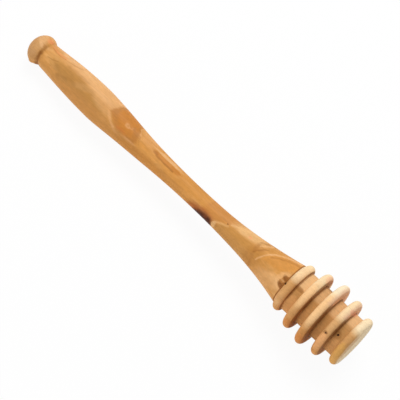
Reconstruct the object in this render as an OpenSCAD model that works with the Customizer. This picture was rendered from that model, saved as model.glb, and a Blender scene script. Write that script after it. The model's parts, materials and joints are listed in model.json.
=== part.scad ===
// Turned wooden honey dipper, lying at rest on its knob and its widest ring.
// Two pieces: a handle with a round knob and a tenon, and a ringed head glued on that tenon.
// Sizes are in millimetres. The outlines are drawn as [distance from the axis, distance from
// the knob's end] and turned round the axis, so every face is a true surface of revolution.

/* [Knob] */
// Diameter of the knob, a ball that is slightly flattened lengthwise
knob_d = 11.9; // [11:0.1:16]
// Length of the knob, were it whole
knob_len = 9.6; // [8:0.1:16]
// Angle round the knob at which the hollow behind it begins, 90 where the knob is widest
hollow_from = 60; // [50:1:70]
// Radius of the hollow that runs round behind the knob
cove_r = 1; // [0.8:0.1:3]

/* [Handle] */
// Length from the knob's end to the joint with the head
handle_len = 129.4; // [110:0.1:170]
// Diameter of the grip where it is fullest
belly_d = 13; // [11:0.1:14.4]
// Distance from the knob's end to the fullest place of the grip
belly_at = 34.5; // [28:0.5:50]
// Diameter of the slender waist
waist_d = 7.4; // [6:0.1:10]
// Distance from the knob's end to the slenderest place
waist_at = 83.5; // [65:0.5:100]
// How early the grip swells behind the neck, lower is earlier
belly_rise = 0.64; // [0.5:0.02:1]
// How early the grip falls towards the waist, lower is earlier
waist_fall = 0.7; // [0.5:0.02:1]
// How late the waist flares out to the head, higher is later
flare_power = 2.35; // [1.6:0.05:3]

/* [Joint] */
// Diameter of the two faces that meet at the joint
joint_d = 16.8; // [14:0.1:18.4]
// Diameter of the handle's tenon
tenon_d = 8; // [5:0.1:10]
// Length of the tenon beyond the joint
tenon_len = 17; // [10:0.5:19]
// Chamfer on the tenon's end
tenon_chamfer = 0.8; // [0.3:0.1:1.5]
// Room for glue round the tenon
glue_gap = 0.05; // [0.02:0.01:0.2]
// Room for glue beyond the tenon's end
glue_pocket = 1; // [0.5:0.1:2]
// Angle of the drill's point at the bottom of the bore
drill_angle = 118; // [90:1:140]

/* [Head] */
// Number of rings
ring_count = 5; // [4:1:8]
// Distance from one ring to the next
ring_pitch = 6.75; // [5.8:0.05:9]
// Distance from the joint to the first ring's crest
first_ring_at = 2; // [1.9:0.05:4]
// Diameter of the ring next to the handle
first_ring_d = 20; // [19:0.1:24]
// Diameter of the widest ring, halfway along the head
widest_ring_d = 26.4; // [24:0.1:28]
// Diameter of the ring at the tip
last_ring_d = 20.4; // [19:0.1:24]
// How full the head is between its middle and its ends, higher is fuller
barrel_power = 1.5; // [1:0.1:2.5]

/* [Rings and grooves] */
// Radius of the rounded rim of a ring
rim_r = 1.6; // [1.2:0.05:1.8]
// Slope of a ring's sides, which are nearly square to the axis
wall_slope = 1; // [0:0.5:12]
// Diameter at the bottom of the grooves
groove_d = 16.4; // [15:0.1:17]
// Radius of the fillet where a ring's side meets the bottom of the groove
groove_fillet = 0.3; // [0.2:0.1:0.8]
// Radius of the rounded edge round the flat end face
end_round = 1.6; // [0.8:0.05:2.5]

/* [Colours] */
// Colour of the oiled wood of the handle
handle_colour = [0.80, 0.56, 0.34]; // [0:0.01:1]
// Colour of the paler, drier wood of the head
head_colour = [0.88, 0.70, 0.49]; // [0:0.01:1]

/* [Hidden] */
$fn = 120;

// Straight steps in an arc of the outline, and in each long curve of the handle
arc_steps = 14;
curve_steps = 22;
// The drill starts this far outside the joint face
drill_run_in = 1;
// Turn of each piece about its own axis. It changes no surface, but the collision hulls then
// rest on a flat between two of their corners, and the part lies still.
seam_turn = 7.3;

knob_r = knob_d / 2;
knob_half = knob_len / 2;
belly_r = belly_d / 2;
waist_r = waist_d / 2;
joint_r = joint_d / 2;
tenon_r = tenon_d / 2;
groove_r = groove_d / 2;
bore_r = tenon_r + glue_gap;
bore_depth = tenon_len + glue_pocket;
bore_point = bore_r / tan(drill_angle / 2);

// A point of the knob's outline as [radius, distance], by the angle round the knob
function on_knob(a) = [knob_r * sin(a), knob_half * (1 + cos(a))];

// The hollow touches the knob where it begins, and the neck is where the hollow is deepest
hollow_lean = [sin(hollow_from) / knob_r, cos(hollow_from) / knob_half];
hollow_way = hollow_lean / norm(hollow_lean);
cove_centre = on_knob(hollow_from) + cove_r * hollow_way;
cove_start = atan2(hollow_way[0], hollow_way[1]) + 180;
neck_r = cove_centre[0] - cove_r;
neck_at = cove_centre[1];

function ring_at(i) = handle_len + first_ring_at + i * ring_pitch;

// Along the head the ring radius swells from either end to the middle
function ring_place(i) = 2 * i / (ring_count - 1) - 1;
function end_ring_d(i) = ring_place(i) < 0 ? first_ring_d : last_ring_d;
function ring_r(i) =
    (widest_ring_d - (widest_ring_d - end_ring_d(i)) * pow(abs(ring_place(i)), barrel_power)) / 2;

last_ring = ring_count - 1;
total_len = ring_at(last_ring) + end_round;

// The centre of a ring's round rim, as [radius, distance]
function crest_centre(i) = [ring_r(i) - rim_r, ring_at(i)];

// Lean of the axis at which the knob and one ring's rim both touch the ground. The lean is
// small, so the knob rolls on the curve it has lengthwise where it is widest.
// The ring that needs the most lean is the one the part rests on.
knob_curve = pow(knob_half, 2) / knob_r;
function lean_on(i) =
    let (run = ring_at(i) - knob_half, rise = ring_r(i) - rim_r - knob_r + knob_curve)
    atan2(rise, run) + asin((rim_r - knob_curve) / norm([run, rise]));
lean = max([for (i = [0 : last_ring]) lean_on(i)]);

// Height of the knob's middle above the ground
knob_height = norm([knob_r * cos(lean), knob_half * sin(lean)]);

// The origin is on the ground, halfway along the part
near_end = knob_half * cos(lean) - norm([knob_half * cos(lean), knob_r * sin(lean)]);
end_edge = [ring_r(last_ring) - end_round, total_len - end_round];
far_end = end_edge[1] * cos(lean) + end_edge[0] * sin(lean) + end_round;
origin_x = (near_end + far_end) / 2;

// Points of an arc round [radius, distance], by the angle from the axis towards the rim
function arc(centre, r, from, to) = [
    for (k = [0 : arc_steps])
        let (a = from + (to - from) * k / arc_steps)
        centre + r * [sin(a), cos(a)]
];

// Half a wave from 0 to 1, bent to one side by the power
function wave(u, power) = (1 - cos(180 * pow(u, power))) / 2;

// Points of a long curve from one radius and place to the next
function curve(r0, at0, r1, at1, power) = [
    for (k = [1 : curve_steps])
        let (u = k / curve_steps)
        [r0 + (r1 - r0) * wave(u, power), at0 + (at1 - at0) * u]
];

// Points of the trumpet from the waist to the joint
function flare() = [
    for (k = [1 : curve_steps])
        let (u = k / curve_steps)
        [waist_r + (joint_r - waist_r) * pow(u, flare_power), waist_at + (handle_len - waist_at) * u]
];

// Points round the knob from the axis to the hollow
function knob() = [
    for (k = [0 : arc_steps])
        on_knob(180 + (hollow_from - 180) * k / arc_steps)
];

function handle_outline() = concat(
    knob(),
    arc(cove_centre, cove_r, cove_start, 270),
    curve(neck_r, neck_at, belly_r, belly_at, belly_rise),
    curve(belly_r, belly_at, waist_r, waist_at, waist_fall),
    flare(),
    [
        [tenon_r, handle_len],
        [tenon_r, handle_len + tenon_len - tenon_chamfer],
        [tenon_r - tenon_chamfer, handle_len + tenon_len],
        [0, handle_len + tenon_len]
    ]
);

// A ring's side slopes down from the rim to the fillet at its foot. Where the ring is low,
// the fillet touches the round rim itself and its slope there is steeper than asked.
foot_r = groove_r + groove_fillet;
function side_slope(i) =
    let (lift = max(0, foot_r - crest_centre(i)[0]))
    max(wall_slope, asin(lift / (rim_r + groove_fillet)));

// Centre of that fillet. Facing is -1 towards the handle and 1 towards the tip.
function foot_centre(i, facing) =
    let (slope = side_slope(i), drop = crest_centre(i)[0] - foot_r)
    [foot_r, ring_at(i) + facing * (rim_r + groove_fillet + drop * sin(slope)) / cos(slope)];

function rear_foot(i) = arc(foot_centre(i, -1), groove_fillet, 270, 360 - side_slope(i));

function rim(i, from, to) = arc(crest_centre(i), rim_r, from, to);

function front_foot(i) = arc(foot_centre(i, 1), groove_fillet, 180 + side_slope(i), 270);

// Angle at which a straight slope from the joint's edge meets the first ring's rim. The edge
// can lie straight behind the centre of the rim, so its angle is counted from 0 to 360.
joint_edge = [joint_r, handle_len];
edge_step = joint_edge - crest_centre(0);
edge_angle = (atan2(edge_step[0], edge_step[1]) + 360) % 360;
first_slope = edge_angle - acos(rim_r / norm(edge_step));

function first_ring() = concat(
    [joint_edge],
    rim(0, first_slope, side_slope(0)),
    front_foot(0)
);

function middle_ring(i) = concat(
    rear_foot(i),
    rim(i, 180 - side_slope(i), side_slope(i)),
    front_foot(i)
);

function end_ring() = concat(
    rear_foot(last_ring),
    rim(last_ring, 180 - side_slope(last_ring), 90),
    arc(end_edge, end_round, 90, 0)
);

function head_outline() = concat(
    [[0, handle_len]],
    first_ring(),
    [for (i = [1 : last_ring - 1]) each middle_ring(i)],
    end_ring(),
    [[0, total_len]]
);

// Shape that the drill leaves: a straight bore with a pointed bottom
function bore_outline() = [
    [0, handle_len - drill_run_in],
    [bore_r, handle_len - drill_run_in],
    [bore_r, handle_len + bore_depth],
    [0, handle_len + bore_depth + bore_point]
];

// Lays a turned piece down along +X, with the knob and the widest ring on the ground
module lying() {
    translate([-origin_x, 0, knob_height - knob_half * sin(lean)])
        rotate([0, 90 - lean, 0])
            rotate(seam_turn)
                children();
}

module handle() {
    color(handle_colour)
        lying()
            rotate_extrude()
                polygon(handle_outline());
}

module dipper_head() {
    color(head_colour)
        lying()
            difference() {
                rotate_extrude()
                    polygon(head_outline());
                rotate_extrude()
                    polygon(bore_outline());
            }
}

handle();
dipper_head();
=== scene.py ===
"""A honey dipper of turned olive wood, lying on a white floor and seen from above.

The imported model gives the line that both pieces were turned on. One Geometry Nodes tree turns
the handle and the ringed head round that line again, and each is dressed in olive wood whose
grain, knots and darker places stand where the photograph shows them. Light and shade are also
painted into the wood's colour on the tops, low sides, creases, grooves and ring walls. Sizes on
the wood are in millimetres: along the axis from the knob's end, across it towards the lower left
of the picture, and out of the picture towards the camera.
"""

from __future__ import annotations

import json
import logging
import math
from dataclasses import dataclass, field
from enum import Enum
from typing import Any, Iterable, Mapping, Union

import bpy
from mathutils import Euler, Matrix, Vector

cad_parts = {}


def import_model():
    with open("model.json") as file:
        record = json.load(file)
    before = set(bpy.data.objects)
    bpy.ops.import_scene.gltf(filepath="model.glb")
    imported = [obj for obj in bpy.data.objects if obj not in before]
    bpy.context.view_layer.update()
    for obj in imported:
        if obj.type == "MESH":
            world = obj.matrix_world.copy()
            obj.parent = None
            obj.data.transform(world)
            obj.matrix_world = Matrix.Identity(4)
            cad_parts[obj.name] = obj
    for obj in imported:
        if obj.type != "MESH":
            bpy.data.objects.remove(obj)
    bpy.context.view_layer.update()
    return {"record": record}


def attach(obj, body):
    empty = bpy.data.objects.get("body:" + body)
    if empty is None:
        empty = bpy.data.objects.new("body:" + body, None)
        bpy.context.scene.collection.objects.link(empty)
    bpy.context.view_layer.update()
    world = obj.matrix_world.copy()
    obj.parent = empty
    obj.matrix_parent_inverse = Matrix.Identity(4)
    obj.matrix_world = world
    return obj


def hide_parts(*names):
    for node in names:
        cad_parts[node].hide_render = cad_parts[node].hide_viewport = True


LOG = logging.getLogger("honey_dipper")
MM = 0.001

# A place on the dipper in millimetres: along and out, or along and across
Place = tuple[float, float]
# A colour as the screen shows it, with parts from 0 to 255
Colour = tuple[int, int, int]
Number = Union[float, "Socket"]
Key = Union[str, int]


def linear(colour: Colour) -> list[float]:
    """The colour's parts from 0 to 1, without the screen's curve."""
    shares = [part / 255 for part in colour]
    return [share / 12.92 if share <= 0.04045 else ((share + 0.055) / 1.055) ** 2.4 for share in shares]


def add_object(name: str, data: bpy.types.ID) -> bpy.types.Object:
    """Adds an object to the scene.

    Args:
        name: The object's name.
        data: Its mesh, lamp or camera.

    Returns:
        The object.
    """
    made = bpy.data.objects.new(name, data)
    bpy.context.scene.collection.objects.link(made)
    return made


class Facing(Enum):
    """The side of the dipper that a mark of the wood lies on."""

    CAMERA = "all that the camera sees, and a little round the edge"
    FLOOR = "the side that lies on the floor"
    PAST_THE_FRONT = "the half that lies away from the camera"
    ALL_ROUND = "every side"


class Socket:
    """An output of a node, on which sums are written as in Python."""

    def __init__(self, graph: "Graph", output: bpy.types.NodeSocket | None) -> None:
        """Keeps the output and the graph that it belongs to."""
        self.graph = graph
        self.output = output

    def of(self, name: str) -> "Socket":
        """Another output of the same node, by its name."""
        return Socket(self.graph, self.graph.find(self.output.node.outputs, name))

    def math(self, operation: str, *others: Number) -> "Socket":
        """A Math node with this value first."""
        return self.graph.math(operation, self, *others)

    def __add__(self, other: Number) -> "Socket":
        """This value plus another."""
        return self.math("ADD", other)

    __radd__ = __add__

    def __sub__(self, other: Number) -> "Socket":
        """This value less another."""
        return self.math("SUBTRACT", other)

    def __rsub__(self, other: Number) -> "Socket":
        """Another value less this one."""
        return self.graph.math("SUBTRACT", other, self)

    def __mul__(self, other: Number) -> "Socket":
        """This value times another."""
        return self.math("MULTIPLY", other)

    __rmul__ = __mul__

    def __truediv__(self, other: Number) -> "Socket":
        """This value divided by another."""
        return self.math("DIVIDE", other)

    def __rtruediv__(self, other: Number) -> "Socket":
        """Another value divided by this one."""
        return self.graph.math("DIVIDE", other, self)

    def smooth(self, low: Number, high: Number) -> "Socket":
        """Rises softly from 0 at the low value to 1 at the high one, or falls if they are swapped."""
        ends = {"Value": self, "From Min": low, "From Max": high}
        return self.graph.node("ShaderNodeMapRange", {"interpolation_type": "SMOOTHSTEP"}, ends)

    def spread(self, low: float, high: float) -> "Socket":
        """Runs from the low to the high value over the middle of this noise, from 0.3 to 0.7."""
        ends = {"Value": self, "From Min": 0.3, "From Max": 0.7, "To Min": low, "To Max": high}
        return self.graph.node("ShaderNodeMapRange", inputs=ends)


class Graph:
    """Adds nodes to a tree and joins them."""

    def __init__(self, tree: bpy.types.NodeTree) -> None:
        """Starts on an empty tree."""
        self.tree = tree
        tree.nodes.clear()

    @staticmethod
    def find(sockets: Iterable[bpy.types.NodeSocket], key: Key) -> bpy.types.NodeSocket:
        """The socket in use that has this name or number.

        Args:
            sockets: The inputs or the outputs of a node.
            key: The name that the node shows, or the place in the list.

        Returns:
            The first socket that fits and isn't hidden by the node's settings.
        """
        if isinstance(key, int):
            return list(sockets)[key]
        return next(s for s in sockets if s.name == key and s.enabled and not s.is_unavailable)

    def node(
        self,
        kind: str,
        settings: Mapping[str, Any] | None = None,
        inputs: Mapping[Key, Any] | None = None,
        output: Key = 0,
    ) -> Socket:
        """Adds one node.

        Args:
            kind: The node's type.
            settings: Its properties, set first.
            inputs: Values or sockets for its inputs, by name or number.
            output: The output to hand back, by name or number.

        Returns:
            The chosen output.
        """
        made = self.tree.nodes.new(kind)
        for name, value in (settings or {}).items():
            setattr(made, name, value)
        for name, value in (inputs or {}).items():
            self.feed(self.find(made.inputs, name), value)
        return Socket(self, self.find(made.outputs, output) if made.outputs else None)

    def feed(self, socket: bpy.types.NodeSocket, value: Any) -> None:
        """Links a socket into an input, or sets the input to a plain value.

        Args:
            socket: The input.
            value: A socket, a number, a colour or a vector.
        """
        if isinstance(value, Socket):
            self.tree.links.new(value.output, socket)
        elif socket.type == "RGBA":
            socket.default_value = (*value, 1)
        else:
            socket.default_value = value

    def math(self, operation: str, *values: Number) -> Socket:
        """A Math node on the values."""
        return self.node("ShaderNodeMath", {"operation": operation}, dict(enumerate(values)))

    def vector(self, operation: str, *values: Any, output: Key = 0) -> Socket:
        """A Vector Math node on the vectors, and on a number where it scales.

        Args:
            operation: The node's operation.
            values: Its vectors, or a vector and a number where it scales.
            output: The output to hand back, by name or number.

        Returns:
            The chosen output.
        """
        inputs = dict(enumerate(values))
        if operation == "SCALE":
            inputs = {"Vector": values[0], "Scale": values[1]}
        return self.node("ShaderNodeVectorMath", {"operation": operation}, inputs, output)

    def dot(self, first: Any, second: Any) -> Socket:
        """The dot product of two vectors."""
        return self.vector("DOT_PRODUCT", first, second, output="Value")

    def length(self, x: Number, y: Number) -> Socket:
        """The length of a flat vector."""
        return self.vector("LENGTH", self.join(x, y, 0), output="Value")

    def join(self, x: Number, y: Number, z: Number) -> Socket:
        """A vector of three numbers."""
        return self.node("ShaderNodeCombineXYZ", inputs={0: x, 1: y, 2: z})

    def blend(self, mask: Number, under: Any, colour: Colour) -> Socket:
        """What lies under, with the colour on it as much as the mask says, from 0 to 1."""
        inputs = {"Factor": mask, "A": under, "B": linear(colour)}
        return self.node("ShaderNodeMix", {"data_type": "RGBA"}, inputs, "Result")


@dataclass(frozen=True)
class TurningAxis:
    """The line both pieces were turned on, and the two directions square to it.

    Across points at the lower left of the picture, and toward points at its camera.
    """

    start: Vector
    along: Vector
    across: Vector
    toward: Vector

    @classmethod
    def from_record(cls, record: Mapping[str, Any], length: float, view_rise: float) -> "TurningAxis":
        """Finds the axis from the record's mount on the head's end face.

        Args:
            record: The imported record.
            length: The dipper's length in millimetres.
            view_rise: How steeply the camera looks down on the dipper, in degrees.

        Returns:
            The axis, which starts at the knob's end.
        """
        mount = next(m for m in record["mounts"] if m["name"] == "end_face")
        along = Vector(mount["axis"]).normalized()
        level = Vector((0, -1, 0))
        up = level.cross(along)
        rise = math.radians(view_rise)
        toward = level * math.cos(rise) + up * math.sin(rise)
        start = Vector(mount["pos_m"]) - along * length * MM
        return cls(start, along, along.cross(toward), toward)

    def point(self, x: float, v: float, c: float) -> Vector:
        """The point in metres that lies x along, v across and c toward, in millimetres."""
        return self.start + (self.along * x + self.across * v + self.toward * c) * MM

    def place(self, point: Vector) -> tuple[float, float, float]:
        """How far along, across and toward a point in metres lies, in millimetres."""
        away = (point - self.start) / MM
        return away.dot(self.along), away.dot(self.across), away.dot(self.toward)

    def turn(self) -> Euler:
        """The turn that takes X along, Y toward and Z across."""
        return Matrix((self.along, self.toward, self.across)).transposed().to_euler()


class Lathe:
    """The Geometry Nodes tree that turns an outline round the axis.

    The outline is a chain of points, each a place along the axis and a radius in millimetres.
    """

    INPUTS = {
        "NodeSocketInt": ("Segments", "Seed"),
        "NodeSocketVector": ("Start", "Along", "Across", "Toward"),
        "NodeSocketFloat": (
            "Unevenness",
            "Knob shift",
            "Knob shift until",
            "Straight at",
            "Bow",
            "Bow from",
            "Bow until",
            "Bow end",
            "Sharp angle",
        ),
        "NodeSocketMaterial": ("Finish",),
    }
    MERGE = 1e-6
    ALONG_SCALE = 0.11
    ROUND_SCALE = 0.16

    def __init__(self) -> None:
        """Builds the tree."""
        self.tree = bpy.data.node_groups.new("turn_an_outline", "GeometryNodeTree")
        self.graph = Graph(self.tree)
        sides = self.tree.interface
        sides.new_socket("Outline", in_out="INPUT", socket_type="NodeSocketGeometry")
        for kind, names in self.INPUTS.items():
            for name in names:
                sides.new_socket(name, in_out="INPUT", socket_type=kind)
        sides.new_socket("Piece", in_out="OUTPUT", socket_type="NodeSocketGeometry")
        self.given = self.graph.node("NodeGroupInput")
        self.finish(self.placed(self.grid()))

    def columns(self) -> Socket:
        """The number of points in a row, with the last on top of the first."""
        return self.given.of("Segments") + 1

    def grid(self) -> Socket:
        """A grid with a row for each point of the outline and a column for each segment.

        Returns:
            The grid, still flat.
        """
        rows = self.graph.node(
            "GeometryNodeAttributeDomainSize",
            {"component": "MESH"},
            {"Geometry": self.given.of("Outline")},
            "Point Count",
        )
        return self.graph.node(
            "GeometryNodeMeshGrid", inputs={"Vertices X": rows, "Vertices Y": self.columns()}
        )

    def placed(self, grid: Socket) -> Socket:
        """Moves each point of the grid to its place round the axis.

        Args:
            grid: The flat grid.

        Returns:
            The grid, turned round the axis.
        """
        graph = self.graph
        given = self.given
        number = graph.node("GeometryNodeInputIndex")
        row = ((number + 0.5) / self.columns()).math("FLOOR")
        column = number - row * self.columns()
        outline_point = graph.node(
            "GeometryNodeSampleIndex",
            {"data_type": "FLOAT_VECTOR", "domain": "POINT"},
            {
                "Geometry": given.of("Outline"),
                "Value": graph.node("GeometryNodeInputPosition"),
                "Index": row,
            },
        )
        parts = graph.node("ShaderNodeSeparateXYZ", inputs={0: outline_point})
        x = parts.of("X")
        angle = column * math.tau / given.of("Segments")
        cosine = angle.math("COSINE")
        sine = angle.math("SINE")
        radius = self.uneven(x, parts.of("Y"), cosine, sine)
        steps = (
            (given.of("Along"), x),
            (given.of("Across"), radius * cosine + self.bow(x)),
            (given.of("Toward"), radius * sine),
        )
        position = given.of("Start")
        for direction, distance in steps:
            step = graph.vector("SCALE", direction, distance * MM)
            position = graph.vector("ADD", position, step)
        return graph.node("GeometryNodeSetPosition", inputs={"Geometry": grid, "Position": position})

    def uneven(self, x: Socket, radius: Socket, cosine: Socket, sine: Socket) -> Socket:
        """The radius, a little smaller where the tool and the sanding took more off.

        Args:
            x: The place along the axis.
            radius: The outline's radius there.
            cosine: The cosine of the angle round the axis, from across towards the camera.
            sine: The sine of that angle.

        Returns:
            The radius that the piece gets.
        """
        graph = self.graph
        across = radius * cosine * self.ROUND_SCALE
        toward = radius * sine * self.ROUND_SCALE
        where = graph.join(x * self.ALONG_SCALE, across, toward)
        noise = graph.node(
            "ShaderNodeTexNoise",
            {"noise_dimensions": "4D"},
            {"Vector": where, "W": self.given.of("Seed"), "Scale": 1.0, "Detail": 2.0},
        )
        return radius * (1 - self.given.of("Unevenness") * noise.smooth(0.25, 0.75))

    def bow(self, x: Socket) -> Socket:
        """How far the axis of the piece stands off to the lower left at each place along it.

        Args:
            x: The place along the axis.

        Returns:
            The distance in millimetres.
        """
        given = self.given
        straight = given.of("Straight at")
        knob = 1 - x.smooth(given.of("Knob shift until"), straight)
        end = 1 - x.smooth(given.of("Bow until"), given.of("Bow end"))
        middle = x.smooth(straight, given.of("Bow from")) * end
        return given.of("Knob shift") * knob + given.of("Bow") * middle

    def finish(self, piece: Socket) -> None:
        """Closes the seam and the poles, shades the piece and gives it its material.

        Args:
            piece: The grid, turned round the axis.
        """
        graph = self.graph
        closed = graph.node(
            "GeometryNodeMergeByDistance", inputs={"Geometry": piece, "Distance": self.MERGE}
        )
        soft = graph.node("GeometryNodeSetShadeSmooth", inputs={"Geometry": closed})
        angle = graph.node("GeometryNodeInputMeshEdgeAngle")
        corner = angle.math("GREATER_THAN", self.given.of("Sharp angle"))
        edged = graph.node(
            "GeometryNodeSetShadeSmooth",
            {"domain": "EDGE"},
            {"Geometry": soft, "Selection": corner, "Shade Smooth": False},
        )
        real = graph.node("GeometryNodeRealizeInstances", inputs={"Geometry": edged})
        dressed = graph.node(
            "GeometryNodeSetMaterial", inputs={"Geometry": real, "Material": self.given.of("Finish")}
        )
        graph.node("NodeGroupOutput", inputs={"Piece": dressed})

    def run(self, name: str, outline: list[Place], values: Mapping[str, Any]) -> bpy.types.Object:
        """Turns one outline.

        Args:
            name: The piece's name.
            outline: Its points, from one end on the axis to the other.
            values: The tree's inputs by name.

        Returns:
            The piece as a plain mesh object at the origin.
        """
        chain = bpy.data.meshes.new(name + "_outline")
        chain.from_pydata([(x, r, 0) for x, r in outline], [], [])
        piece = add_object(name, chain)
        modifier = piece.modifiers.new("turning", "NODES")
        modifier.node_group = self.tree
        for socket in self.tree.interface.items_tree:
            if socket.name in values:
                modifier[socket.identifier] = values[socket.name]
        bpy.context.view_layer.update()
        ready = piece.evaluated_get(bpy.context.evaluated_depsgraph_get())
        mesh = bpy.data.meshes.new_from_object(ready)
        piece.modifiers.remove(modifier)
        piece.data = mesh
        mesh.name = name
        bpy.data.meshes.remove(chain)
        return piece


@dataclass(frozen=True)
class Carving:
    """A place where wood is missing, or stands out where the depth is less than 0.

    Attributes:
        x: Its place along the axis.
        half_length: How far it reaches along the axis.
        angle: Its place round the axis in degrees, from across towards the camera.
        half_angle: How far it reaches round the axis.
        depth: The depth in its middle, which falls off to nothing at its rim.
        power: How flat its floor is, where 1 is pointed.
    """

    x: float
    half_length: float
    angle: float
    half_angle: float
    depth: float
    power: float = 2.0

    def at(self, x: float, angle: float) -> float:
        """The depth at a place along the axis and round it.

        Args:
            x: The place along the axis.
            angle: The angle round it in degrees.

        Returns:
            The depth there, or 0 outside the carving.
        """
        turned = (angle - self.angle + 180) % 360 - 180
        off = math.hypot((x - self.x) / self.half_length, turned / self.half_angle)
        return self.depth * max(0.0, 1 - off**self.power)


def carve(piece: bpy.types.Object, axis: TurningAxis, carvings: Iterable[Carving]) -> None:
    """Moves the points of a piece in where wood is missing and out where it stands out.

    Args:
        piece: The turned piece.
        axis: The line that it was turned on.
        carvings: The places that differ from the turned shape.
    """
    for vertex in piece.data.vertices:
        x, v, c = axis.place(vertex.co)
        radius = math.hypot(v, c)
        depth = sum(carving.at(x, math.degrees(math.atan2(c, v))) for carving in carvings)
        if depth and radius > depth:
            share = 1 - depth / radius
            vertex.co = axis.point(x, v * share, c * share)


class Grain:
    """The wood's own directions on a piece, and the shapes that marks of the wood have."""

    # Millimetres from one of the tree's rings to the next
    RING_SPACING = 1.9
    # The tree's middle, toward and across, and how fast it moves away along the axis
    PITH = (-19.0, -26.0)
    PITH_DRIFT = (0.035, 0.02)

    def __init__(self, graph: Graph, axis: TurningAxis) -> None:
        """Reads the place on the piece in millimetres.

        Args:
            graph: The material's graph.
            axis: The line that the piece was turned on.
        """
        self.graph = graph
        placed = graph.node(
            "ShaderNodeMapping",
            {"vector_type": "TEXTURE"},
            {
                "Vector": graph.node("ShaderNodeTexCoord", output="Object"),
                "Location": axis.start,
                "Rotation": axis.turn(),
                "Scale": (MM, MM, MM),
            },
        )
        parts = graph.node("ShaderNodeSeparateXYZ", inputs={0: placed})
        self.x = parts.of("X")
        self.c = parts.of("Y")
        self.v = parts.of("Z")
        self.radius = (self.c * self.c + self.v * self.v).math("SQRT")
        wander = self.noise(0.35, 0.7, 3, 5.0, output="Color")
        shift = graph.vector("MULTIPLY_ADD", wander, (1.5, 0, 0.9), (-0.75, 0, -0.45))
        self.spot = graph.vector("ADD", graph.join(self.x, 0, self.v), shift)
        edge = self.c + (self.noise(0.14, 0.25, 3, 6.0) - 0.5) * 6.0
        self.gates = {
            Facing.CAMERA: edge.smooth(-3.8, -1.6),
            Facing.FLOOR: edge.smooth(-0.8, -3.0),
            Facing.PAST_THE_FRONT: self.c.smooth(5.0, 0.5),
        }

    def noise(
        self,
        lengthwise: float,
        crosswise: float,
        detail: float,
        seed: float,
        output: str = "Fac",
        slant: float = 0.0,
    ) -> Socket:
        """Noise that is drawn out along the grain.

        Args:
            lengthwise: Its scale along the axis, per millimetre.
            crosswise: Its scale across the axis, per millimetre.
            detail: How many finer layers it has.
            seed: A number that sets it apart from other noise.
            output: The noise node's output.
            slant: How many millimetres along it runs for each one across.

        Returns:
            The noise, about 0.5 on average.
        """
        x = self.x - self.v * slant if slant else self.x
        where = self.graph.join(x * lengthwise, self.c * crosswise, self.v * crosswise)
        return self.graph.node(
            "ShaderNodeTexNoise",
            {"noise_dimensions": "4D"},
            {"Vector": where, "W": seed, "Scale": 1.0, "Detail": detail, "Roughness": 0.55},
            output,
        )

    def growth_lines(self) -> Socket:
        """Thin lines where the surface cuts the tree's rings, which lean a little to the axis.

        Returns:
            1 on a line and 0 between the lines.
        """
        sway = self.noise(0.045, 0.12, 3, 11.0) * 7.0
        c = self.c - self.PITH[0] + self.x * self.PITH_DRIFT[0]
        v = self.v - self.PITH[1] + self.x * self.PITH_DRIFT[1]
        distance = (c * c + v * v).math("SQRT") + sway
        wave = (distance * (math.tau / self.RING_SPACING)).math("SINE")
        return wave.smooth(0.55, 1.0)


@dataclass(frozen=True)
class Mark:
    """A place on the wood whose colour differs from the ground.

    Attributes:
        name: What it is, which its node in the shader is labelled with.
        colour: Its colour.
        strength: How much of that shows, from 0 to 1.
        facing: The side of the dipper that it lies on.
        least_r: The least distance from the axis at which it shows, or 0.
        most_r: The greatest distance from the axis at which it shows, or 0.
    """

    name: str
    colour: Colour
    strength: float
    facing: Facing = field(default=Facing.CAMERA, kw_only=True)
    least_r: float = field(default=0.0, kw_only=True)
    most_r: float = field(default=0.0, kw_only=True)

    def mask(self, grain: Grain) -> Socket:
        """1 inside the mark and 0 outside."""
        raise NotImplementedError

    def over(self, grain: Grain, ground: Socket) -> Socket:
        """The ground's colour with the mark on it.

        Args:
            grain: The wood's directions on the piece.
            ground: The colour under the mark.

        Returns:
            The colour for the next mark.
        """
        shown = self.mask(grain) * self.strength
        if self.facing is not Facing.ALL_ROUND:
            shown = shown * grain.gates[self.facing]
        if self.least_r:
            shown = shown * grain.radius.smooth(self.least_r - 0.25, self.least_r + 0.25)
        if self.most_r:
            shown = shown * grain.radius.smooth(self.most_r + 0.25, self.most_r - 0.25)
        marked = grain.graph.blend(shown, ground, self.colour)
        marked.output.node.label = self.name
        return marked


@dataclass(frozen=True)
class Patch(Mark):
    """A round or long mark with a soft rim.

    Attributes:
        centre: Its middle, along and across.
        half_length: Its reach along its own length.
        half_width: Its reach across its own length.
        slant: How far its length is turned from the axis, in degrees.
        softness: The share of its reach over which it fades.
    """

    centre: Place
    half_length: float
    half_width: float
    slant: float = 0.0
    softness: float = 0.9

    def mask(self, grain: Grain) -> Socket:
        """1 inside the mark and 0 outside.

        Args:
            grain: The wood's directions on the piece.

        Returns:
            The mask, which falls off over the softness.
        """
        graph = grain.graph
        turned = math.radians(self.slant)
        away = graph.vector("SUBTRACT", grain.spot, (self.centre[0], 0, self.centre[1]))
        length = (math.cos(turned) / self.half_length, 0, math.sin(turned) / self.half_length)
        width = (-math.sin(turned) / self.half_width, 0, math.cos(turned) / self.half_width)
        reach = graph.length(graph.dot(away, length), graph.dot(away, width))
        return reach.smooth(1 + self.softness / 2, 1 - self.softness / 2)


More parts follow.
